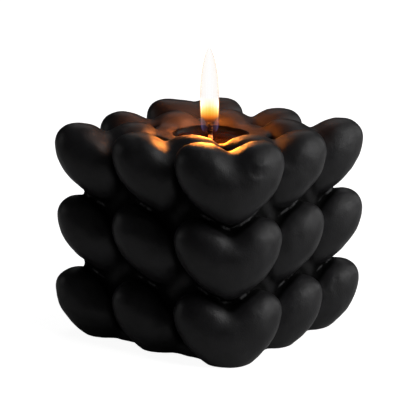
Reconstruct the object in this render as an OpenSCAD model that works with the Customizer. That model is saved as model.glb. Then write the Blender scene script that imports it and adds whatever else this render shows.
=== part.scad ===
// Lit black candle: one cube-shaped wax casting of puffy hearts, three each way,
// whose top centre heart has melted away round the wick.
// Millimetres. Z is up, the base lies on Z = 0 and the wick stands on the Z axis.
// The cube's faces look along X and Y. Every heart faces the vertical edge at +X, -Y.

/* [Heart grid] */
// distance between neighbouring heart centres across the cube, in mm
heart_pitch = 20; // [19:0.25:21.5]
// height between one layer's heart centres and the next layer's, in mm
layer_pitch = 20; // [19:0.25:21]
// height of the bottom layer's heart centres above the flat base, in mm
base_to_first = 6.9; // [6:0.1:8]

/* [Heart shape] */
// full width of one heart from side to side, in mm
heart_w = 28.6; // [27.5:0.1:29.5]
// full thickness of one heart from front to back, in mm
heart_t = 18.2; // [17.5:0.1:20]
// height of one heart down its middle, from the notch to the tip, in mm
heart_h = 20.4; // [19.5:0.1:22]
// how far the upper half has risen at the heart's side, in mm
heart_rise = 6.5; // [6:0.1:7.5]
// how far the lower half has risen at the heart's side, which makes it fuller, in mm
heart_rise_low = 5.6; // [4.6:0.1:6]

/* [Inner block] */
// width of the square block that joins the hearts, in mm
core_w = 48.6; // [46:0.2:50]
// width of the block between its cut front and back edges, in mm
core_cut_w = 60.6; // [58:0.2:64]
// height of the joining block above the top layer's heart centres, in mm
core_over = 3; // [1:0.5:4]
// radius of the raised shelf round the melt pool, in mm
shelf_r = 15.6; // [14:0.2:17]

/* [Melt pool] */
// radius of the pool's rim, in mm
rim_r = 10.3; // [9:0.1:11]
// height of the pool's rim above the top layer's heart centres, in mm
rim_over = 8.8; // [8:0.1:9.2]
// radius of the pool's flat floor, in mm
floor_r = 7.4; // [6:0.1:8]
// depth of the melted wax, in mm
pool_deep = 3.2; // [2.5:0.1:4]
// height of the rim above the melted wax, in mm
rim_above_wax = 2.5; // [1.8:0.1:2.8]
// how much wider than the rim the hollow is at the heart tops, in mm
flare = 1.2; // [0.5:0.1:2]
// gap left round the melted wax, in mm
pool_gap = 0.05; // [0.03:0.01:0.1]

/* [Wick] */
// thickness of the braided wick, in mm
wick_d = 1.6; // [1.2:0.1:2]
// height of the wick's lower end above the base, in mm
wick_foot = 1; // [0.5:0.5:3]
// length of wick that stands out of the melted wax, in mm
wick_out = 5; // [4.2:0.1:5.6]
// lean of the free end of the wick, in degrees
wick_lean = 8; // [2:1:12]
// radius of the bend where the wick starts to lean, in mm
wick_bend = 6; // [4:0.5:8]
// gap left round the wick in the wax, in mm
wick_gap = 0.05; // [0.03:0.01:0.1]

/* [Flame] */
// height of the flame from its lower edge to its tip, in mm
flame_h = 23.2; // [18:0.2:26]
// greatest width of the flame, in mm
flame_w = 5.3; // [5:0.1:6.5]
// radius of the flame's open lower edge, in mm
flame_foot_r = 2; // [1.9:0.1:2.3]
// height of the flame's lower edge above the melted wax, in mm
flame_over = 2.6; // [2:0.1:3]
// gap left between the flame and the wick, in mm
flame_gap = 0.2; // [0.1:0.05:0.3]

/* [Facets] */
// segments round one heart
heart_seg = 24; // [20:4:24]
// segments round the pool's hollow
pool_seg = 48; // [32:4:48]
// segments round the wick's hole in the wax
hole_seg = 24; // [16:4:24]

/* [Hidden] */
top_z = base_to_first + 2 * layer_pitch;
rim_z = top_z + rim_over;
wax_z = rim_z - rim_above_wax;
floor_z = wax_z - pool_deep;
core_z = top_z + core_over;
wick_r = wick_d / 2;
crest_z = top_z + sqrt(pow(heart_h / 2, 2) + pow(heart_rise, 2));
// radius of the hollow's sloping wall at a height between floor and rim
function wall_r(z) = floor_r + (rim_r - floor_r) * (z - floor_z) / (rim_z - floor_z);
// corner radius of a hole with n flat sides that just clears a round of radius r
function around(r, n) = r / cos(180 / n);
// the hollow's lower and upper parts overlap by this much, so that they join
join = 0.01;
// the straight free end of the wick, above its bend
wick_end = wick_out - wick_bend * wick_lean * PI / 180;
flame_z = wax_z + flame_over;
// the flame is widest at this share of its height
belly = 0.3;
// half width of the flame's blunt tip, in mm
flame_tip_r = 0.25;
// half width of the flame at t, from 0 at its lower edge to 1 at its tip
function flame_r(t) =
    t < belly
    ? flame_foot_r + (flame_w / 2 - flame_foot_r) * sqrt(sin(90 * t / belly))
    : flame_tip_r + (flame_w / 2 - flame_tip_r) * pow(1 - pow((t - belly) / (1 - belly), 2.5), 0.75);

wax_black = [0.035, 0.034, 0.036];
wick_cream = [0.62, 0.55, 0.47];
flame_gold = [1, 0.78, 0.35, 0.6];

// a quarter of a rounded form, the upper or lower one, that rises towards the heart's side
module quarter(side, up, rise) {
    multmatrix([[side * heart_w / 2, 0, 0, 0],
                [0, heart_t / 2, 0, 0],
                [rise, 0, up * heart_h / 2, 0],
                [0, 0, 0, 1]])
        intersection() {
            rotate([90, 0, 0]) sphere(r = 1, $fn = heart_seg);
            translate([0, -1.2, 0]) cube([1.2, 2.4, 1.2]);
        }
}

// one side of a heart: its rounded top, its fuller lower part and the skin between them
module lobe(side) {
    hull() {
        quarter(side, 1, heart_rise);
        quarter(side, -1, heart_rise_low);
    }
}

module heart() {
    lobe(1);
    lobe(-1);
}

// eight hearts in each layer; the top centre one has melted, the others are inside the block
module hearts() {
    for (layer = [0:2], i = [-1:1], j = [-1:1])
        if (i != 0 || j != 0)
            translate([i * heart_pitch, j * heart_pitch, base_to_first + layer * layer_pitch])
                rotate([0, 0, 45])
                    heart();
}

// the square block behind the hearts, with its front and back edges cut off
module inner_block() {
    intersection() {
        translate([-core_w / 2, -core_w / 2, 0]) cube([core_w, core_w, core_z]);
        rotate([0, 0, 45])
            translate([-core_w, -core_cut_w / 2, 0]) cube([2 * core_w, core_cut_w, core_z]);
    }
}

// the shelf that the melted heart left
module shelf() {
    cylinder(h = rim_z, r = shelf_r, $fn = pool_seg);
}

// the space that the melted heart left, open at the top
module hollow() {
    translate([0, 0, floor_z])
        cylinder(h = rim_z - floor_z, r1 = around(floor_r, pool_seg),
                 r2 = around(rim_r, pool_seg), $fn = pool_seg);
    translate([0, 0, rim_z - join])
        cylinder(h = crest_z - rim_z + 1, r1 = around(rim_r, pool_seg),
                 r2 = around(rim_r + flare, pool_seg), $fn = pool_seg);
}

module wick_hole() {
    translate([0, 0, wick_foot])
        cylinder(h = wax_z - wick_foot, r = around(wick_r + wick_gap, hole_seg), $fn = hole_seg);
}

// all that lies below the surface that the candle stands on
module below_base() {
    wide = 4 * heart_pitch + heart_w;
    translate([-wide / 2, -wide / 2, -heart_h]) cube([wide, wide, heart_h]);
}

module wax_body() {
    color(wax_black)
        difference() {
            union() {
                hearts();
                inner_block();
                shelf();
            }
            below_base();
            hollow();
            wick_hole();
        }
}

// melted wax lying in the hollow round the wick
module wax_pool() {
    color(wax_black)
        translate([0, 0, floor_z])
            difference() {
                cylinder(h = pool_deep, r1 = floor_r - pool_gap,
                         r2 = wall_r(wax_z) - pool_gap, $fn = 96);
                translate([0, 0, -1])
                    cylinder(h = pool_deep + 2, r = wick_r + wick_gap, $fn = 48);
            }
}

// moves a shape that stands on the XY plane to the foot of the wick's leaning end
module on_leaning_end() {
    translate([-wick_bend, 0, wax_z])
        rotate([0, -wick_lean, 0])
            translate([wick_bend, 0, 0])
                children();
}

// straight in the wax, then bent a little where it stands free
module wick() {
    color(wick_cream) {
        translate([0, 0, wick_foot])
            cylinder(h = wax_z - wick_foot, r = wick_r, $fn = 48);
        translate([-wick_bend, 0, wax_z])
            rotate([90, 0, 0])
                rotate_extrude(angle = wick_lean, $fn = 96)
                    translate([wick_bend, 0]) circle(r = wick_r, $fn = 48);
        on_leaning_end() cylinder(h = wick_end, r = wick_r, $fn = 48);
    }
}

// the space that the flame fills, open below round the end of the wick
module flame() {
    steps = 14;
    color(flame_gold)
        difference() {
            translate([0, 0, flame_z])
                rotate_extrude($fn = 96)
                    polygon(concat([[0, 0]],
                        [for (i = [0:steps]) [flame_r(i / steps), flame_h * i / steps]],
                        [[0, flame_h]]));
            on_leaning_end()
                cylinder(h = wick_end + flame_gap, r = wick_r + flame_gap, $fn = 48);
        }
}

wax_body();
wax_pool();
wick();
flame();
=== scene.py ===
"""A lit black candle: a cube of merged puffy hearts, its top centre heart melted into a pool."""

import itertools
import math
import random

import bmesh
import bpy
import numpy as np
import openvdb
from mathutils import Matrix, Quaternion, Vector


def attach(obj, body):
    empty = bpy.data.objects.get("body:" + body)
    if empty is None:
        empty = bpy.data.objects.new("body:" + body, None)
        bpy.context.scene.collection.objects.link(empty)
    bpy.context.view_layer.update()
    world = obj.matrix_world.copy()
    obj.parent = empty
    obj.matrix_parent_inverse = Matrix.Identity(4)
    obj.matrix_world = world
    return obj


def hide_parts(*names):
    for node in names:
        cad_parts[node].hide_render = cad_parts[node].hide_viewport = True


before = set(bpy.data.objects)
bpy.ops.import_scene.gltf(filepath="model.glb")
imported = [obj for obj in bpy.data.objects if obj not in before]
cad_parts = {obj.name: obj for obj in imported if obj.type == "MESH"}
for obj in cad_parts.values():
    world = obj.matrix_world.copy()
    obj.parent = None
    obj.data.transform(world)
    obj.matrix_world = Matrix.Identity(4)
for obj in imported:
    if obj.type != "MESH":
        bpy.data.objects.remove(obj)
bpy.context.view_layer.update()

MM = 0.001

# The casting in millimetres, with the same main sizes as the solid that it replaces.
PITCH = 20.0
FIRST_Z = 6.9
HEART_W, HEART_T, HEART_H, HEART_RISE = 28.6, 18.2, 20.4, 6.5
CORE_W, CORE_OVER = 48.6, 3.0
# The inner block's front and back edges are cut off this far from its middle.
CORE_DIAGONAL = 30.3
SHELF_R = 15.6
TOP_Z = FIRST_Z + 2 * PITCH
RIM_R, RIM_Z = 10.3, TOP_Z + 8.8
FLARE = 1.2
WAX_Z = RIM_Z - 2.5
FLOOR_Z = WAX_Z - 3.2
FLOOR_R = 7.4
CREST_Z = TOP_Z + math.hypot(HEART_H / 2, HEART_RISE)

# The wick and the flame in millimetres.
WICK_OUT, WICK_LEAN, WICK_BEND = 5.0, math.radians(8), 6.0
FLAME_Z = WAX_Z + 2.6
FLAME_H, FLAME_W, FLAME_FOOT_R = 23.2, 5.3, 2.0
FLAME_BELLY = 0.3


# Shapes as distances from their surface, in millimetres, on a grid of points

VOXEL = 0.6
MARGIN = 2.0
# Distance that stands for any point well away from a shape.
FAR = 20.0


def spread(axes):
    """The places along each axis of a grid, each along its own dimension."""
    return axes[0][:, None, None], axes[1][None, :, None], axes[2][None, None, :]


def near(axes, at, reach):
    """The part of a grid that lies within reach of a point."""
    ends = [np.searchsorted(axes[n], (at[n] - reach[n], at[n] + reach[n])) for n in range(3)]
    return tuple(slice(first, last) for first, last in ends)


def ramp(value, low, high):
    """Rises smoothly from 0 at low to 1 at high."""
    t = np.clip((value - low) / (high - low), 0, 1)
    return t * t * (3 - 2 * t)


def smooth_min(a, b, k):
    """Union of two shapes whose meeting line is rounded over about k millimetres."""
    h = np.clip(0.5 + 0.5 * (b - a) / k, 0, 1)
    return b + (a - b) * h - k * h * (1 - h)


def smooth_max(a, b, k):
    """What two shapes share, rounded in the same way."""
    return -smooth_min(-a, -b, k)


def band_noise(shape, wavelength, seed):
    """Smooth random waves of about one wavelength, in millimetres, between about -1 and 1."""
    white = np.random.default_rng(seed).standard_normal(shape).astype(np.float32)
    f = [np.fft.fftfreq(shape[0], VOXEL), np.fft.fftfreq(shape[1], VOXEL), np.fft.rfftfreq(shape[2], VOXEL)]
    rate = np.sqrt(f[0][:, None, None] ** 2 + f[1][None, :, None] ** 2 + f[2][None, None, :] ** 2)
    band = np.exp(-(((rate * wavelength) - 1) ** 2) * 4)
    waves = np.fft.irfftn(np.fft.rfftn(white) * band, s=shape)
    return (waves / (2 * waves.std())).astype(np.float32)


def box_distance(x, y, z, half, low, high):
    """Distance from an upright square block."""
    qx, qy = np.abs(x) - half, np.abs(y) - half
    qz = np.abs(z - (low + high) / 2) - (high - low) / 2
    outside = np.sqrt(np.maximum(qx, 0) ** 2 + np.maximum(qy, 0) ** 2 + np.maximum(qz, 0) ** 2)
    return outside + np.minimum(np.maximum(np.maximum(qx, qy), qz), 0)


def cone_distance(r, z, r_low, z_low, r_high, z_high):
    """Distance from a wall that leans outwards, closed below and open above."""
    lean = math.atan2(r_high - r_low, z_high - z_low)
    wall = (r - r_low - (z - z_low) * math.tan(lean)) * math.cos(lean)
    return np.maximum(wall, z_low - z)


# Hearts

# How steeply a heart's two sides rise, and how much fuller it is low down at the sides.
SLOPE, LOWER_FULL = 0.47, 0.9
# How far the line where the sides meet is rounded off at the heart's edge, and how much more in front.
CREASE_EDGE, CREASE_FRONT, CREASE_UPPER = 0.75, 3.2, 0.85
NOTCH_DEEP, NOTCH_WIDE = 0.9, 3.2
# Heights above a heart's middle where its lower half ends and where its upper half begins.
LOWER_END, UPPER_START = (-2, 6), (2, 9)
# Shares of half a heart's thickness between which its middle turns into its front.
FRONT_START = (0.15, 0.85)
LEAST_STEEP = 0.02


def turned(x, y):
    """How far a place lies to the side and to the front as the hearts face, towards +X, -Y."""
    return (x + y) * math.sqrt(0.5), (x - y) * math.sqrt(0.5)


def heart_distance(x, y, z, size, notch):
    """Distance from one heart whose middle is at the origin and whose width runs along X + Y."""
    side, depth = turned(x, y)
    a, d, c = size * HEART_W / 2, size * HEART_T / 2, size * HEART_H / 2
    # The two halves meet in a sharp line at the tip and the notch, and in a smooth dome in front.
    front = ramp(np.abs(depth) / d, *FRONT_START)
    upper = ramp(z, *UPPER_START)
    round_off = CREASE_EDGE + CREASE_FRONT * front * (1 - CREASE_UPPER * upper)
    lift = SLOPE * (np.sqrt(side * side + round_off * round_off) - round_off)
    lift = lift - LOWER_FULL * (1 - ramp(z, *LOWER_END)) * (side / a) ** 2
    lift = lift - notch * np.exp(-((side / NOTCH_WIDE) ** 2)) * upper
    q = np.sqrt((side / a) ** 2 + (depth / d) ** 2 + ((z - lift) / c) ** 2)
    steepness = np.sqrt(sum(g * g for g in np.gradient(q, VOXEL)))
    return (q - 1) / np.maximum(steepness, LEAST_STEEP)


# How far each heart in view sits off the regular grid, to the right and up, by column and layer.
NUDGES = {
    (1, -1): ((0.3, 0.0), (0.0, 0.1), (0.0, 0.3)),
    (0, -1): ((-0.1, -0.5), (-0.2, 0.4), (-0.3, 0.2)),
    (-1, -1): ((0.3, -0.3), (0.7, 0.1), (0.1, 0.0)),
    (1, 0): ((0.6, -0.2), (0.4, 0.1), (0.4, 0.0)),
    (1, 1): ((0.2, 0.1), (0.4, 0.2), (-0.2, 0.0)),
    (-1, 1): ((0.0, 0.0), (0.0, 0.0), (0.4, 0.7)),
}
# The way that the photo's right points across the cube.
NUDGE_RIGHT = (0.82, 0.57)
# How far the hidden hearts sit off the grid, to the right and up, and the sizes of all but the back heart.
HIDDEN_RIGHT, HIDDEN_UP, HEART_SIZES = (-0.3, 0.3), (-0.2, 0.2), (0.995, 1.005)
# The back heart of the top layer is a little smaller, and softened wax fills its notch.
BACK_COLUMN, BACK_HEART = (-1, 1), (0.97, -0.6)
BLEND_HEARTS, BLEND_LAYERS = 1.8, 0.5
# A thin fin of wax stands in the seam between two layers.
SEAM_WIDE, SEAM_HIGH, SEAM_NEAR = 1.0, 0.4, 2.5
# Further than this from its middle, a heart shapes nothing.
HEART_REACH = (HEART_W / 2 + 2, HEART_W / 2 + 2, HEART_H / 2 + HEART_RISE + 3)


def heart_layer(axes, layer, sag, rng):
    """Distance from the eight hearts of one layer; the top layer is lowered by sag."""
    x, y, z = spread(axes)
    level = np.full([len(axis) for axis in axes], FAR, np.float32)
    for column in itertools.product((-1, 0, 1), repeat=2):
        if column == (0, 0):
            continue
        if column in NUDGES:
            right, up = NUDGES[column][layer]
        else:
            right, up = rng.uniform(*HIDDEN_RIGHT), rng.uniform(*HIDDEN_UP)
        size, notch = rng.uniform(*HEART_SIZES), NOTCH_DEEP
        if column == BACK_COLUMN and layer == 2:
            size, notch = BACK_HEART
        at = [column[0] * PITCH + right * NUDGE_RIGHT[0], column[1] * PITCH + right * NUDGE_RIGHT[1],
              FIRST_Z + layer * PITCH + up]
        part = near(axes, at, HEART_REACH)
        height = z[:, :, part[2]] - at[2]
        if layer == 2:
            height = height + sag[part[0], part[1]]
        one = heart_distance(x[part[0]] - at[0], y[:, part[1]] - at[1], height, size, notch)
        level[part] = smooth_min(level[part], one, BLEND_HEARTS)
    return level


def merged_hearts(axes, sag):
    """Distance from all the hearts, and how near each point is to a seam between two layers."""
    rng = random.Random(11)
    body = heart_layer(axes, 0, sag, rng)
    seam = np.zeros_like(body)
    for layer in (1, 2):
        level = heart_layer(axes, layer, sag, rng)
        met = np.exp(-((body - level) / SEAM_WIDE) ** 2 - (body / SEAM_NEAR) ** 2)
        seam = np.maximum(seam, met)
        body = smooth_min(body, level, BLEND_LAYERS) - SEAM_HIGH * met
    return body, seam


# Casting

# The lobes next to the flame have slumped, most at the front.
SAG_BACK, SAG_FRONT, SAG_R, SAG_FADE = 0.5, 2.1, 20.0, 9.0
FRONT_FADE = 8.0
# The melted floor dips at the front, where the wax ran between two lobes.
DIP_DEEP, DIP_AT, DIP_WIDE = 0.9, 0.9, 2.8
CORE_LOW = -5
BLEND_CORE_EDGE, BLEND_CORE, BLEND_SHELF, BLEND_WALL, BLEND_RIM, BLEND_BASE = 1.0, 0.6, 1.4, 2.2, 0.6, 0.4
# Slow waves and small ripples in the wax: their length, their height, and the waves' height in the hollow.
WAVE_LONG, WAVE_HIGH, WAVE_IN_HOLLOW = 7.0, 0.10, 0.25
RIPPLE_LONG, RIPPLE_HIGH = 2.6, 0.035
MARK_STEPS, MARK_SHARE = 13, 0.35
# A curved dent in the front heart, the bump over it, and a nick: three points, width and depth.
MARKS = [(((28.0, -22.9, 53.6), (29.8, -21.3, 51.9), (31.0, -18.7, 53.6)), 0.5, 0.26),
         (((28.8, -21.3, 54.7), (29.8, -20.3, 54.4), (30.5, -18.9, 55.1)), 0.7, -0.2),
         (((29.3, 19.2, 14.9), (29.5, 19.6, 14.9), (29.7, 20.0, 14.9)), 0.4, 0.35)]


def press(values, axes, points, width, depth):
    """Presses a groove, or raises a ridge where depth is negative, along a curve through three points."""
    start, middle, end = (np.array(p) for p in points)
    for t in np.linspace(0, 1, MARK_STEPS):
        at = (1 - t) * (1 - 2 * t) * start + 4 * t * (1 - t) * middle + t * (2 * t - 1) * end
        part = near(axes, at, [3 * width] * 3)
        x, y, z = spread([axes[n][part[n]] - at[n] for n in range(3)])
        values[part] += depth * MARK_SHARE * np.exp(-(x * x + y * y + z * z) / width ** 2)


def casting_axes():
    """Where the grid's points lie along X, Y and Z, and its lowest corner."""
    half = PITCH + HEART_W / 2 + MARGIN
    low, high = np.array([-half, -half, -MARGIN]), np.array([half, half, CREST_Z + MARGIN])
    count = np.ceil((high - low) / VOXEL).astype(int) + 1
    return [low[n] + VOXEL * np.arange(count[n], dtype=np.float32) for n in range(3)], low


def casting_grid(axes):
    """Distance from the whole casting, and how near each point is to a seam."""
    x, y, z = spread(axes)
    r = np.sqrt(x * x + y * y)
    side, depth = turned(x, y)
    front = ramp(depth, 0, FRONT_FADE)
    sag = (SAG_BACK + (SAG_FRONT - SAG_BACK) * front) * ramp(SAG_R - r, 0, SAG_FADE)
    body, seam = merged_hearts(axes, sag)

    core = box_distance(x, y, z, CORE_W / 2, CORE_LOW, TOP_Z + CORE_OVER)
    core = smooth_max(core, np.abs(depth) - CORE_DIAGONAL, BLEND_CORE_EDGE)
    body = smooth_min(body, core, BLEND_CORE)
    shelf_z = RIM_Z - DIP_DEEP * np.exp(-((side - DIP_AT) / DIP_WIDE) ** 2) * front
    body = smooth_min(body, np.maximum(r - SHELF_R, z - shelf_z), BLEND_SHELF)

    waves = band_noise(body.shape, WAVE_LONG, 3)
    body += WAVE_HIGH * waves + RIPPLE_HIGH * band_noise(body.shape, RIPPLE_LONG, 4)
    for points, width, deep in MARKS:
        press(body, axes, points, width, deep)

    well = cone_distance(r, z, FLOOR_R, FLOOR_Z, RIM_R, RIM_Z)
    wall = cone_distance(r, z, RIM_R, RIM_Z, RIM_R + FLARE, CREST_Z)
    body = smooth_max(body, -(wall + WAVE_IN_HOLLOW * waves), BLEND_WALL)
    body = smooth_max(body, -(well + WAVE_IN_HOLLOW * waves), BLEND_RIM)
    return smooth_max(body, -z, BLEND_BASE), seam


CAVITY_REACH = 2.4


def cavity(values):
    """How far each grid point is shut in by wax round it: about 0.5 on a flat face, more in a crease."""
    solid = (values < 0).astype(np.float32)
    f = [np.fft.fftfreq(n, VOXEL) for n in solid.shape[:2]] + [np.fft.rfftfreq(solid.shape[2], VOXEL)]
    rate = f[0][:, None, None] ** 2 + f[1][None, :, None] ** 2 + f[2][None, None, :] ** 2
    blur = np.exp(-2 * (math.pi * CAVITY_REACH) ** 2 * rate)
    return np.fft.irfftn(np.fft.rfftn(solid) * blur, s=solid.shape)


def sample(values, points):
    """Values of a grid at points given in its own steps, blended from the eight round each."""
    base = np.clip(np.floor(points).astype(int), 0, np.array(values.shape) - 2)
    part = points - base
    total = np.zeros(len(points))
    for corner in np.ndindex(2, 2, 2):
        at = base + corner
        total += np.where(corner, part, 1 - part).prod(axis=1) * values[at[:, 0], at[:, 1], at[:, 2]]
    return total.astype(np.float32)


def place(name, mesh, smooth):
    """Puts a mesh into the scene as an object."""
    mesh.polygons.foreach_set("use_smooth", [smooth] * len(mesh.polygons))
    obj = bpy.data.objects.new(name, mesh)
    bpy.context.scene.collection.objects.link(obj)
    return obj


def place_bmesh(name, bm, smooth=True):
    mesh = bpy.data.meshes.new(name)
    bm.to_mesh(mesh)
    bm.free()
    return place(name, mesh, smooth)


def surface_mesh(name, values, shades, low):
    """The zero surface of a grid of distances, in metres, with named values at each of its points."""
    grid = openvdb.FloatGrid(background=FAR)
    grid.copyFromArray(values)
    steps, triangles, quads = grid.convertToPolygons(isovalue=0.0, adaptivity=0.0)
    points = steps * VOXEL + low
    points[:, 2] = np.maximum(points[:, 2], 0)
    mesh = bpy.data.meshes.new(name)
    mesh.from_pydata((points * MM).tolist(), [], triangles.tolist() + quads.tolist())
    for key, shade in shades.items():
        mesh.attributes.new(key, "FLOAT", "POINT").data.foreach_set("value", sample(shade, steps))
    mesh.update()
    return place(name, mesh, True)


def build_casting():
    axes, low = casting_axes()
    values, seam = casting_grid(axes)
    return surface_mesh("wax_casting", values, {"cavity": cavity(values), "seam": seam}, low)


# Pool

# The pool starts inside the wick and ends inside the casting, so that no gap shows.
POOL_WICK_R, POOL_OVERLAP, POOL_DEEP = 0.62, 0.45, 2.0
POOL_RINGS = 40
# The underside slopes in from the wall by the first, at the second depth, and ends the third from the wick.
UNDER_IN, UNDER_DEEP, UNDER_WICK = 0.6, 1.2, 1.0
# How high the liquid climbs the wall and the wick, and within what distance.
WALL_CLIMB, WICK_CLIMB = (0.9, 0.5), (0.35, 0.4)


def revolved(name, profile, segments=96):
    """A skin turned about Z from a list of (radius, height) in millimetres."""
    bm = bmesh.new()
    rings = []
    for r, z in profile:
        if r < 1e-4:
            rings.append([bm.verts.new((0, 0, z * MM))])
        else:
            turn = [2 * math.pi * i / segments for i in range(segments)]
            rings.append([bm.verts.new((r * MM * math.cos(t), r * MM * math.sin(t), z * MM)) for t in turn])
    for lower, upper in zip(rings, rings[1:]):
        for i in range(segments):
            j = i + 1
            corners = [ring[k % len(ring)] for ring, k in ((lower, i), (lower, j), (upper, j), (upper, i))]
            unique = list(dict.fromkeys(corners))
            if len(unique) > 2:
                bm.faces.new(unique)
    bmesh.ops.remove_doubles(bm, verts=bm.verts, dist=1e-7)
    bmesh.ops.recalc_face_normals(bm, faces=bm.faces)
    return place_bmesh(name, bm)


def build_pool():
    """Level melted wax that climbs a little where it meets the casting and the wick."""
    wall = FLOOR_R + (RIM_R - FLOOR_R) * (WAX_Z - FLOOR_Z) / (RIM_Z - FLOOR_Z)
    inner, outer = POOL_WICK_R, wall + POOL_OVERLAP
    under = (inner, WAX_Z - POOL_DEEP)
    profile = [under]
    for n in range(POOL_RINGS + 1):
        r = inner + (outer - inner) * n / POOL_RINGS
        climb = WALL_CLIMB[0] * math.exp(-(outer - r) / WALL_CLIMB[1])
        climb += WICK_CLIMB[0] * math.exp(-(r - inner) / WICK_CLIMB[1])
        profile.append((r, WAX_Z + climb))
    profile += [(outer - UNDER_IN, WAX_Z - UNDER_DEEP), (inner + UNDER_WICK, WAX_Z - POOL_DEEP), under]
    return revolved("melted_wax", profile)


# Wick

# Where the braid starts and ends, in millimetres along the free wick, and where it is charred from.
WICK_FROM, WICK_TO = -1.5, WICK_OUT - 0.15
CHAR_FROM, CHAR_FADE = 2.2, 0.3
# The braid's radius in millimetres, and how it is rounded off at its end.
WAXED_R, CHARRED_R = 0.54, 0.78
END_LONG, END_LEAST = 0.5, 0.15
YARNS, YARN_SIDES, YARN_STEPS = 8, 8, 150
BRAID_PITCH = 3.2
# Shares of the wick's radius: where a yarn lies, how far it weaves in and out, and its own radius.
YARN_LAY, YARN_WEAVE, YARN_R = 0.66, 0.13, 0.36
YARN_SLANT = 0.2
# Charred yarns stray by up to this many millimetres and swell by up to this share.
CHAR_STRAY, CHAR_SWELL = 0.05, 0.18


def wick_point(s):
    """A point s millimetres along the free wick, and its direction."""
    bend = WICK_BEND * WICK_LEAN
    a = min(max(s, 0) / WICK_BEND, WICK_LEAN)
    at = Vector((-WICK_BEND * (1 - math.cos(a)), 0, WAX_Z + WICK_BEND * math.sin(a)))
    way = Vector((-math.sin(a), 0, math.cos(a)))
    return at + way * (min(s, 0) + max(s - bend, 0)), way


def wick_radius(s):
    """The braid's radius: slim where it is waxed, thicker where it is charred, rounded at its end."""
    charred = float(ramp(s, CHAR_FROM - CHAR_FADE, CHAR_FROM + CHAR_FADE))
    end = max(0.0, (s - WICK_OUT + END_LONG) / END_LONG)
    return (WAXED_R + (CHARRED_R - WAXED_R) * charred) * math.sqrt(max(1 - end * end, END_LEAST))


def yarn_ring(bm, number, s, rng):
    """One ring of points round a yarn of the braid. Odd and even yarns turn opposite ways."""
    at, along = wick_point(s)
    across = Vector((0, 1, 0))
    out = across.cross(along)
    way_round, swap = (1, 0) if number % 2 else (-1, math.pi)
    turn = way_round * 2 * math.pi * s / BRAID_PITCH + 2 * math.pi * number / YARNS
    weave = math.sin(2 * math.pi * s / BRAID_PITCH * YARNS / 2 + swap)
    radial = out * math.cos(turn) + across * math.sin(turn)
    lay, thick = wick_radius(s) * (YARN_LAY + YARN_WEAVE * weave), wick_radius(s) * YARN_R
    if s > CHAR_FROM:
        lay += rng.uniform(-CHAR_STRAY, CHAR_STRAY)
        thick *= 1 + rng.uniform(-CHAR_SWELL, CHAR_SWELL)
    ring = []
    for n in range(YARN_SIDES):
        t = 2 * math.pi * n / YARN_SIDES
        skin = radial * math.cos(t) + (along * YARN_SLANT + radial.cross(along)) * math.sin(t)
        ring.append(bm.verts.new((at + radial * lay + skin * thick) * MM))
    return ring


def build_wick():
    """A braid of eight yarns that pass over and under each other."""
    bm = bmesh.new()
    rng = random.Random(5)
    for number in range(YARNS):
        places = [WICK_FROM + (WICK_TO - WICK_FROM) * k / YARN_STEPS for k in range(YARN_STEPS + 1)]
        rings = [yarn_ring(bm, number, s, rng) for s in places]
        for lower, upper in zip(rings, rings[1:]):
            for a in range(YARN_SIDES):
                b = (a + 1) % YARN_SIDES
                bm.faces.new((lower[a], lower[b], upper[b], upper[a]))
        bm.faces.new(rings[0])
        bm.faces.new(rings[-1])
    bmesh.ops.recalc_face_normals(bm, faces=bm.faces)
    return place_bmesh("braided_wick", bm)


# Flame

# How far the flame's foot stands from the Z axis, and how much further its tip leans.
FLAME_FOOT_X, FLAME_LEAN_X = -0.42, -0.62
# The body stands on a narrower stem over the wick, up to these shares of the flame's height.
STEM_SHARE, STEM_TOP = 0.5, (0.09, 0.19)
# How far up the body and the veils reach, as shares of the flame's height, and in how many steps.
BODY_HIGH, VEIL_HIGH = (0.985, 56), (0.999, 48)
BODY_SIDES, VEIL_FILMS = 48, 36
# How full the flame is above its foot, how late it tapers, and how round its tip is.
FLAME_FULL, FLAME_TAPER, FLAME_ROUND = 0.45, 2.5, 0.75
# The sheath lies between the first two shares of the flame's radius, the fringe between the last two.
VEIL_SHARES = (0.84, 0.93, 1.0)


def flame_radius(t):
    """The flame's radius at a share of its height."""
    if t < FLAME_BELLY:
        rise = math.sin(math.pi / 2 * t / FLAME_BELLY) ** FLAME_FULL
        return FLAME_FOOT_R + (FLAME_W / 2 - FLAME_FOOT_R) * rise
    taper = ((t - FLAME_BELLY) / (1 - FLAME_BELLY)) ** FLAME_TAPER
    return FLAME_W / 2 * (1 - taper) ** FLAME_ROUND


def flame_heights(high, steps):
    """Shares of the flame's height, closer together towards the tip."""
    return [high * math.sin(math.pi / 2 * n / steps) for n in range(steps + 1)]


def lean_flame(obj):
    """Moves the flame over the end of the wick and leans it a little, as the draught does."""
    for vertex in obj.data.vertices:
        t = (vertex.co.z / MM - FLAME_Z) / FLAME_H
        vertex.co.x += (FLAME_FOOT_X + FLAME_LEAN_X * t) * MM
    return obj


def build_flame_body():
    """The bright inside of the flame, a little narrower than its outline."""
    profile = []
    for t in flame_heights(*BODY_HIGH):
        stem = STEM_SHARE + (1 - STEM_SHARE) * float(ramp(t, *STEM_TOP))
        profile.append((flame_radius(t) * VEIL_SHARES[0] * stem, FLAME_Z + FLAME_H * t))
    profile[-1] = (0, profile[-1][1])
    return lean_flame(revolved("flame_body", profile, BODY_SIDES))


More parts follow.
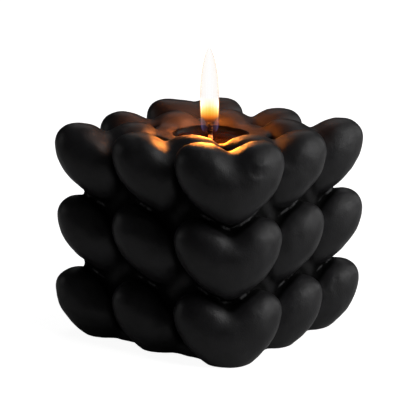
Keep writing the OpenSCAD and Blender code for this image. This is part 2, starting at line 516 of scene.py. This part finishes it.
def build_flame_veil(name, inner, outer):
    """Thin upright films all round, so that the veil is densest along the flame's outline."""
    bm = bmesh.new()
    heights = flame_heights(*VEIL_HIGH)
    for n in range(VEIL_FILMS):
        turn = 2 * math.pi * (n + outer) / VEIL_FILMS
        way = Vector((math.cos(turn), math.sin(turn), 0))
        edges = []
        for share in (inner, outer):
            points = [way * flame_radius(t) * share + Vector((0, 0, FLAME_Z + FLAME_H * t)) for t in heights]
            edges.append([bm.verts.new(point * MM) for point in points])
        for k in range(len(heights) - 1):
            bm.faces.new((edges[0][k], edges[1][k], edges[1][k + 1], edges[0][k + 1]))
    return lean_flame(place_bmesh(name, bm, smooth=False))


# Material helpers


def new_material(name):
    """An empty material, its nodes and links, and its output."""
    mat = bpy.data.materials.new(name)
    mat.use_nodes = True
    nodes = mat.node_tree.nodes
    nodes.clear()
    return mat, nodes, mat.node_tree.links, nodes.new("ShaderNodeOutputMaterial")


def new_surface(name):
    """A material with a Principled shader: the material, nodes, links, shader and object coordinates."""
    mat, nodes, links, out = new_material(name)
    shader = nodes.new("ShaderNodeBsdfPrincipled")
    links.new(shader.outputs[0], out.inputs["Surface"])
    return mat, nodes, links, shader, nodes.new("ShaderNodeTexCoord").outputs["Object"]


def noise(nodes, links, coords, scale, detail):
    node = nodes.new("ShaderNodeTexNoise")
    node.inputs["Scale"].default_value = scale
    node.inputs["Detail"].default_value = detail
    links.new(coords, node.inputs["Vector"])
    return node.outputs["Fac"]


def attribute(nodes, name):
    node = nodes.new("ShaderNodeAttribute")
    node.attribute_name = name
    return node.outputs["Fac"]


def math_node(nodes, links, operation, a, b=None):
    node = nodes.new("ShaderNodeMath")
    node.operation = operation
    for socket, value in zip(node.inputs, (a, b)):
        if isinstance(value, (int, float)):
            socket.default_value = value
        elif value is not None:
            links.new(value, socket)
    return node.outputs[0]


def map_range(nodes, links, value, low, high, to_low=0.0, to_high=1.0):
    """Goes smoothly from one value to another while the input goes from low to high."""
    node = nodes.new("ShaderNodeMapRange")
    node.interpolation_type = "SMOOTHSTEP"
    links.new(value, node.inputs["Value"])
    node.inputs["From Min"].default_value = low
    node.inputs["From Max"].default_value = high
    node.inputs["To Min"].default_value = to_low
    node.inputs["To Max"].default_value = to_high
    return node.outputs["Result"]


def mix_color(nodes, links, factor, a, b):
    node = nodes.new("ShaderNodeMix")
    node.data_type = "RGBA"
    links.new(factor, node.inputs["Factor"])
    for socket, value in ((node.inputs["A"], a), (node.inputs["B"], b)):
        if isinstance(value, tuple):
            socket.default_value = (*value, 1)
        else:
            links.new(value, socket)
    return node.outputs["Result"]


def add_bump(nodes, links, shader, height, strength, distance):
    bump = nodes.new("ShaderNodeBump")
    bump.inputs["Strength"].default_value = strength
    bump.inputs["Distance"].default_value = distance
    links.new(height, bump.inputs["Height"])
    links.new(bump.outputs[0], shader.inputs["Normal"])


def linear(code):
    """A colour written as six hexadecimal digits of sRGB, as linear values."""
    parts = [int(code[i:i + 2], 16) / 255 for i in (0, 2, 4)]
    return tuple(p / 12.92 if p <= 0.04045 else ((p + 0.055) / 1.055) ** 2.4 for p in parts)


# Wax

WAX_IOR, WAX_SHINE, POOL_SHINE = 1.44, 0.38, 0.1
POOL_ROUGH = (0.05, 0.12)
# The values between which most of a noise pattern lies.
NOISE_RANGE = (0.3, 0.7)
WAX_DARK, WAX_LIGHT = (0.011, 0.0106, 0.0115), (0.017, 0.0165, 0.018)
# Painted shade: the colour in the creases and on the wet wall under the rim.
WAX_PAINTED_SHADE = (0.0006, 0.0006, 0.0006)
# Lighter wax on the edge of the fins in the seams: partly residue, partly a painted highlight.
SEAM_RESIDUE_AND_HIGHLIGHT = (0.085, 0.085, 0.087)
# Noise patterns as scale, per metre, and detail.
CLOUDS, RESIDUE_AND_HIGHLIGHT_GRAINS, FINE_GRAIN, DRIFT = (160.0, 4.0), (330.0, 4.0), (2600.0, 3.0), (260.0, 3.0)
# Small pits: their pattern's scale, how wide they are in it, and how deep against the fine grain.
PITS, PIT_WIDE, PIT_DEEP = 900.0, 0.28, 0.35
# The strength of a bump, and its height in metres.
WAX_BUMP = (0.5, 0.1 * MM)
WAX_ROUGH, CREASE_ROUGHER, WET_SMOOTHER, LEAST_ROUGH = (0.34, 0.44), 0.4, 0.2, 0.2
# Where the wet wall ends, in millimetres outside the rim's radius and above the rim.
WET_OUT, WET_UP = (-0.1, 0.5), (-0.7, -0.2)
# Where each shade starts and where it is full, in the values of its pattern or of the casting's grids.
CREASE_RANGE, GRAIN_RANGE, SEAM_RANGE = (0.50, 0.64), (0.42, 0.58), (0.42, 0.72)
# The reflection's tint in the open, and the painted shade that weakens the reflection in the creases and on
# the wet wall.
TINT_OPEN, TINT_PAINTED_SHADE = (1.0, 1.0, 1.0), (0.12, 0.12, 0.12)
POOL_DARK, POOL_LIGHT = (0.0015, 0.0007, 0.0003), (0.004, 0.002, 0.001)


def wet_wall(nodes, links, coords):
    """1 on the wall that the liquid wax has wetted, 0 above its rim and outside the hollow."""
    parts = nodes.new("ShaderNodeSeparateXYZ")
    links.new(coords, parts.inputs[0])
    x, y = parts.outputs["X"], parts.outputs["Y"]
    squares = [math_node(nodes, links, "MULTIPLY", way, way) for way in (x, y)]
    r = math_node(nodes, links, "SQRT", math_node(nodes, links, "ADD", *squares))
    edges = [[(end + past) * MM for past in pair] for end, pair in ((RIM_R, WET_OUT), (RIM_Z, WET_UP))]
    inside = map_range(nodes, links, r, *edges[0], 1.0, 0.0)
    below = map_range(nodes, links, parts.outputs["Z"], *edges[1], 1.0, 0.0)
    return math_node(nodes, links, "MULTIPLY", inside, below)


def wax_color(nodes, links, coords, painted_shade):
    """Near black with slow clouds, with painted shade in the creases and on the wet wall, and broken lighter
    lines in the seams: partly residue, partly a painted highlight.
    """
    tone = map_range(nodes, links, noise(nodes, links, coords, *CLOUDS), *NOISE_RANGE)
    color = mix_color(nodes, links, tone, WAX_DARK, WAX_LIGHT)
    # Painted shade in the creases and on the wet wall under the rim.
    color = mix_color(nodes, links, painted_shade, color, WAX_PAINTED_SHADE)
    grains = map_range(nodes, links, noise(nodes, links, coords, *RESIDUE_AND_HIGHLIGHT_GRAINS), *GRAIN_RANGE)
    seams = map_range(nodes, links, attribute(nodes, "seam"), *SEAM_RANGE)
    # Broken lighter lines along the seams: partly residue, partly a painted highlight.
    residue_and_highlight = math_node(nodes, links, "MULTIPLY", grains, seams)
    return mix_color(nodes, links, residue_and_highlight, color, SEAM_RESIDUE_AND_HIGHLIGHT)


def wax_roughness(nodes, links, fine, crease, wet):
    """Satin, rougher in the creases and smoother where it is wet."""
    rough = map_range(nodes, links, fine, *NOISE_RANGE, *WAX_ROUGH)
    more = math_node(nodes, links, "MULTIPLY", crease, CREASE_ROUGHER)
    less = math_node(nodes, links, "MULTIPLY", wet, WET_SMOOTHER)
    rough = math_node(nodes, links, "SUBTRACT", math_node(nodes, links, "ADD", rough, more), less)
    return math_node(nodes, links, "MAXIMUM", rough, LEAST_ROUGH)


def wax_relief(nodes, links, coords, fine):
    """Fine grain with small pits."""
    pits = nodes.new("ShaderNodeTexVoronoi")
    pits.inputs["Scale"].default_value = PITS
    links.new(coords, pits.inputs["Vector"])
    pit = map_range(nodes, links, pits.outputs["Distance"], 0.0, PIT_WIDE, -1.0, 0.0)
    return math_node(nodes, links, "ADD", math_node(nodes, links, "MULTIPLY", pit, PIT_DEEP), fine)


def wax_material():
    """Black wax: satin, finely pitted, with painted shade in its creases and on the wall under the rim, wet
    and smoother by the pool.
    """
    mat, nodes, links, shader, coords = new_surface("black_wax")
    fine = noise(nodes, links, coords, *FINE_GRAIN)
    crease = map_range(nodes, links, attribute(nodes, "cavity"), *CREASE_RANGE)
    wet = wet_wall(nodes, links, coords)
    # Painted shade in the creases and on the wet wall under the rim: a darker colour and a weaker reflection.
    painted_shade = math_node(nodes, links, "MAXIMUM", crease, wet)
    links.new(wax_color(nodes, links, coords, painted_shade), shader.inputs["Base Color"])
    links.new(mix_color(nodes, links, painted_shade, TINT_OPEN, TINT_PAINTED_SHADE), shader.inputs["Specular Tint"])
    links.new(wax_roughness(nodes, links, fine, crease, wet), shader.inputs["Roughness"])
    add_bump(nodes, links, shader, wax_relief(nodes, links, coords, fine), *WAX_BUMP)
    shader.inputs["Specular IOR Level"].default_value = WAX_SHINE
    shader.inputs["IOR"].default_value = WAX_IOR
    return mat


def pool_material():
    """Clear-surfaced liquid wax, almost black."""
    mat, nodes, links, shader, coords = new_surface("melted_black_wax")
    drift = noise(nodes, links, coords, *DRIFT)
    links.new(mix_color(nodes, links, drift, POOL_DARK, POOL_LIGHT), shader.inputs["Base Color"])
    links.new(map_range(nodes, links, drift, *NOISE_RANGE, *POOL_ROUGH), shader.inputs["Roughness"])
    shader.inputs["Specular IOR Level"].default_value = POOL_SHINE
    shader.inputs["IOR"].default_value = WAX_IOR
    return mat


# Cotton

COTTON_DARK, COTTON_LIGHT = (0.42, 0.33, 0.26), (0.68, 0.58, 0.48)
COTTON_BROWN, COTTON_CHAR = (0.06, 0.035, 0.02), (0.0012, 0.0012, 0.0014)
FIBRES, COTTON_BUMP = (3000.0, 3.0), (0.6, 0.08 * MM)
COTTON_ROUGH, COTTON_SHINE = 0.85, 0.1
# Where the cotton turns brown and then black, from the charred end's start, and how unevenly, in millimetres.
BROWN_RANGE, CHAR_RANGE, CHAR_UNEVEN = (-0.7, 0.3), (0.0, 0.9), 0.9


def wick_material():
    """Cream cotton that browns and then chars to black towards its end."""
    mat, nodes, links, shader, coords = new_surface("cotton_wick")
    fibre = noise(nodes, links, coords, *FIBRES)
    parts = nodes.new("ShaderNodeSeparateXYZ")
    links.new(coords, parts.inputs[0])
    wobble = math_node(nodes, links, "MULTIPLY", fibre, CHAR_UNEVEN * MM)
    level = math_node(nodes, links, "ADD", parts.outputs["Z"], wobble)
    start = WAX_Z + CHAR_FROM
    browned, charred = (map_range(nodes, links, level, (start + low) * MM, (start + high) * MM)
                        for low, high in (BROWN_RANGE, CHAR_RANGE))
    color = mix_color(nodes, links, fibre, COTTON_DARK, COTTON_LIGHT)
    color = mix_color(nodes, links, browned, color, COTTON_BROWN)
    color = mix_color(nodes, links, charred, color, COTTON_CHAR)
    links.new(color, shader.inputs["Base Color"])
    add_bump(nodes, links, shader, fibre, *COTTON_BUMP)
    shader.inputs["Roughness"].default_value = COTTON_ROUGH
    shader.inputs["Specular IOR Level"].default_value = COTTON_SHINE
    return mat


# Glowing gas

# Share of the flame's height, colour, cover. The gas is clear at the wick and white above the middle.
BODY_STOPS = [
    (0.0, "1c1216", 0.0), (0.037, "1c1216", 0.05), (0.074, "301810", 0.40), (0.11, "522a12", 0.85),
    (0.147, "8e4014", 1.0), (0.184, "e8761e", 1.0), (0.233, "fabc40", 1.0), (0.282, "fde26a", 1.0),
    (0.33, "fbf7c4", 1.0), (0.41, "ffffff", 1.0)]
SHEATH_STOPS = [
    (0.0, "4a4a70", 0.012), (0.037, "55536a", 0.02), (0.074, "5f5468", 0.03), (0.11, "765f62", 0.04),
    (0.147, "a86c48", 0.06), (0.184, "fdb050", 0.08), (0.233, "fff199", 0.10), (0.28, "ffffe8", 0.12),
    (0.40, "ffffff", 0.45), (0.50, "fff0d8", 0.10), (1.0, "fbe2c4", 0.10)]
FRINGE_STOPS = [
    (0.0, "40407c", 0.02), (0.06, "4a4a88", 0.04), (0.12, "50466c", 0.03), (0.17, "8a5040", 0.04),
    (0.22, "c87040", 0.06), (0.28, "d98a52", 0.07), (0.40, "e0a478", 0.20), (0.50, "f3cfa4", 0.20),
    (1.0, "f6d4ae", 0.22)]
# How brightly each glows below the middle of the flame. Above it, all have strength 1.
BODY_LOW_STRENGTH, VEIL_LOW_STRENGTH = 1.0, 4.0
FLAME_MIDDLE = (0.28, 0.42)


def color_ramp(nodes, links, t, stops):
    """The colour at a share of the flame's height, from a list of positions and colours."""
    node = nodes.new("ShaderNodeValToRGB")
    links.new(t, node.inputs["Fac"])
    elements = node.color_ramp.elements
    while len(elements) < len(stops):
        elements.new(0.5)
    for element, (position, _) in zip(elements, stops):
        element.position = position
    for element, (_, color) in zip(elements, stops):
        element.color = (*color, 1)
    return node.outputs["Color"]


def flame_material(name, stops, low_strength):
    """Glowing gas: colour and cover change with the height above the flame's lower edge."""
    mat, nodes, links, shader, coords = new_surface(name)
    parts = nodes.new("ShaderNodeSeparateXYZ")
    links.new(coords, parts.inputs[0])
    height = nodes.new("ShaderNodeMapRange")
    links.new(parts.outputs["Z"], height.inputs["Value"])
    height.inputs["From Min"].default_value = FLAME_Z * MM
    height.inputs["From Max"].default_value = (FLAME_Z + FLAME_H) * MM
    t = height.outputs["Result"]
    colors = [(share, linear(code)) for share, code, _ in stops]
    covers = [(share, (cover, cover, cover)) for share, _, cover in stops]
    links.new(color_ramp(nodes, links, t, colors), shader.inputs["Emission Color"])
    links.new(color_ramp(nodes, links, t, covers), shader.inputs["Alpha"])
    strength = map_range(nodes, links, t, *FLAME_MIDDLE, low_strength, 1.0)
    links.new(strength, shader.inputs["Emission Strength"])
    shader.inputs["Base Color"].default_value = (0, 0, 0, 1)
    shader.inputs["Roughness"].default_value = 1.0
    shader.inputs["Specular IOR Level"].default_value = 0.0
    return mat


# Floor and background

FLOOR_HALF, FLOOR_GREY, FLOOR_WHITE = 1.5, 0.8, 0.93
WORLD_DIM = 0.02


def for_camera(nodes, links, others, camera, out):
    """Shows one shader to the camera and the other to every other ray."""
    mix = nodes.new("ShaderNodeMixShader")
    path = nodes.new("ShaderNodeLightPath")
    links.new(path.outputs["Is Camera Ray"], mix.inputs["Fac"])
    links.new(others.outputs[0], mix.inputs[1])
    links.new(camera.outputs[0], mix.inputs[2])
    links.new(mix.outputs[0], out.inputs["Surface"])


def floor_material():
    """Plain pale floor: white to the camera apart from the object's soft shadow."""
    mat, nodes, links, out = new_material("pale_floor")
    surface = nodes.new("ShaderNodeBsdfDiffuse")
    surface.inputs["Color"].default_value = (FLOOR_GREY, FLOOR_GREY, FLOOR_GREY, 1)
    white = nodes.new("ShaderNodeEmission")
    white.inputs["Strength"].default_value = FLOOR_WHITE
    both = nodes.new("ShaderNodeAddShader")
    links.new(surface.outputs[0], both.inputs[0])
    links.new(white.outputs[0], both.inputs[1])
    for_camera(nodes, links, surface, both, out)
    return mat


def add_floor():
    mesh = bpy.data.meshes.new("floor")
    half = FLOOR_HALF
    corners = [(-half, -half, 0), (half, -half, 0), (half, half, 0), (-half, half, 0)]
    mesh.from_pydata(corners, [], [(0, 1, 2, 3)])
    mesh.materials.append(floor_material())
    floor = place("floor", mesh, False)


def add_world():
    """White behind the object, and a dim even light on it."""
    world = bpy.data.worlds.new("studio")
    bpy.context.scene.world = world
    world.use_nodes = True
    nodes, links = world.node_tree.nodes, world.node_tree.links
    nodes.clear()
    dim, white = nodes.new("ShaderNodeBackground"), nodes.new("ShaderNodeBackground")
    for background, strength in ((dim, WORLD_DIM), (white, 1.0)):
        background.inputs["Color"].default_value = (1, 1, 1, 1)
        background.inputs["Strength"].default_value = strength
    for_camera(nodes, links, dim, white, nodes.new("ShaderNodeOutputWorld"))


# Camera and lights

# The camera's turn about Z and its height, distance, shift of aim, roll and focal length fit the photo.
CAMERA_AZ, CAMERA_EL, CAMERA_ROLL = math.radians(34.82), math.radians(15.43), math.radians(1.044)
CAMERA_DISTANCE = 0.5359
FOCAL_PX, FRAME_PX, SENSOR_MM = 1949.2, 416, 36
AIM = Vector((0, 0, 0.02758))
AIM_UP, AIM_RIGHT = 0.00640, -0.00042
VIEW_RIGHT = Vector((math.cos(CAMERA_AZ), math.sin(CAMERA_AZ), 0))
VIEW_FRONT = Vector((math.sin(CAMERA_AZ), -math.cos(CAMERA_AZ), 0))

SOFTBOX_DISTANCE = 0.75
OBJECT_MIDDLE = Vector((0, 0, 0.03))
# Name, degrees to the right of the camera, degrees up, width in metres, power in watts.
SOFTBOXES = [
    ("key_right", 66, 37, 0.42, 1.7), ("high_right", 70, 68, 0.40, 0.3),
    ("low_right", 68, 14, 0.36, 0.4), ("far_right", 105, 45, 0.42, 0.5),
    ("side_right", 88, 14, 0.36, 0.5), ("back_right", 118, 18, 0.36, 0.5),
    ("side_left", -95, 17, 0.36, 0.22), ("back_high", 175, 50, 0.5, 0.45)]
# The flame's light on the wax: height in millimetres and power in watts.
GLOW, GLOW_HIGH = (59.0, 0.075), (70.0, 0.035)
SHINE, SHINE_FRONT = (59.5, 0.16), (68.0, 0.27)
FLAME_COLOR, EMBER_COLOR = (1.0, 0.30, 0.045), (1.0, 0.22, 0.012)
SPOT_ANGLE, SPOT_UP = math.radians(170), 0.25


def raised(level, height):
    """A level direction, turned up by a height in radians."""
    return level * math.cos(height) + Vector((0, 0, math.sin(height)))


def add_camera():
    back = raised(VIEW_FRONT, CAMERA_EL)
    location = AIM + back * CAMERA_DISTANCE
    look_at = AIM + back.cross(VIEW_RIGHT) * AIM_UP + VIEW_RIGHT * AIM_RIGHT
    data = bpy.data.cameras.new("camera")
    data.sensor_width = SENSOR_MM
    data.lens = SENSOR_MM * FOCAL_PX / FRAME_PX
    data.clip_start, data.clip_end = 0.01, 20
    obj = bpy.data.objects.new("camera", data)
    bpy.context.scene.collection.objects.link(obj)
    obj.location = location
    obj.rotation_mode = "QUATERNION"
    aimed = (look_at - location).to_track_quat("-Z", "Y")
    obj.rotation_quaternion = aimed @ Quaternion((0, 0, 1), CAMERA_ROLL)
    bpy.context.scene.camera = obj


def add_softbox(name, around, up, size, power):
    """A square softbox, placed by its turn to the right of the camera and its height, in degrees."""
    turn = math.radians(around)
    way = raised(VIEW_RIGHT * math.sin(turn) + VIEW_FRONT * math.cos(turn), math.radians(up))
    data = bpy.data.lights.new(name, "AREA")
    data.shape = "SQUARE"
    data.size = size
    data.energy = power
    obj = bpy.data.objects.new(name, data)
    obj.location = OBJECT_MIDDLE + way * SOFTBOX_DISTANCE
    obj.rotation_euler = way.to_track_quat("Z", "Y").to_euler()
    bpy.context.scene.collection.objects.link(obj)


def add_glow(name, kind, color, height, power):
    """Part of the light that the flame throws on the wax; a spot throws it at the front alone."""
    data = bpy.data.lights.new(name, kind)
    data.energy = power
    data.color = color
    data.shadow_soft_size = FLAME_W / 2 * MM
    obj = bpy.data.objects.new(name, data)
    obj.location = (FLAME_FOOT_X * MM, 0, height * MM)
    if kind == "SPOT":
        data.spot_size, data.spot_blend = SPOT_ANGLE, 1.0
        away = Vector((0, 0, SPOT_UP)) - VIEW_FRONT
        obj.rotation_euler = away.to_track_quat("Z", "Y").to_euler()
    bpy.context.scene.collection.objects.link(obj)
    return obj


def add_lights():
    for softbox in SOFTBOXES:
        add_softbox(*softbox)
    add_glow("flame_glow", "POINT", EMBER_COLOR, *GLOW).visible_glossy = False
    add_glow("flame_glow_high", "POINT", EMBER_COLOR, *GLOW_HIGH).visible_glossy = False
    add_glow("flame_shine", "POINT", EMBER_COLOR, *SHINE).visible_diffuse = False
    add_glow("flame_shine_front", "SPOT", FLAME_COLOR, *SHINE_FRONT).visible_diffuse = False


# The whole scene


def dress(obj, material, node):
    """Gives a piece its material, hangs it under the root body and hides the solid that it replaces."""
    obj.data.materials.append(material)
    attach(obj, "root")
    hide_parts(node)


def dress_flame(obj, material):
    """The flame throws no shadow of its own."""
    dress(obj, material, "flame")
    obj.visible_shadow = False


def main():
    add_camera()
    add_world()
    add_floor()
    dress(build_casting(), wax_material(), "wax_body")
    dress(build_pool(), pool_material(), "wax_pool")
    dress(build_wick(), wick_material(), "wick")
    dress_flame(build_flame_body(), flame_material("flame_bright_body", BODY_STOPS, BODY_LOW_STRENGTH))
    dress_flame(build_flame_veil("flame_sheath", *VEIL_SHARES[:2]),
                flame_material("flame_bright_sheath", SHEATH_STOPS, VEIL_LOW_STRENGTH))
    dress_flame(build_flame_veil("flame_fringe", *VEIL_SHARES[1:]),
                flame_material("flame_peach_fringe", FRINGE_STOPS, VEIL_LOW_STRENGTH))
    add_lights()
    bpy.context.scene.view_settings.view_transform = "Standard"


main()
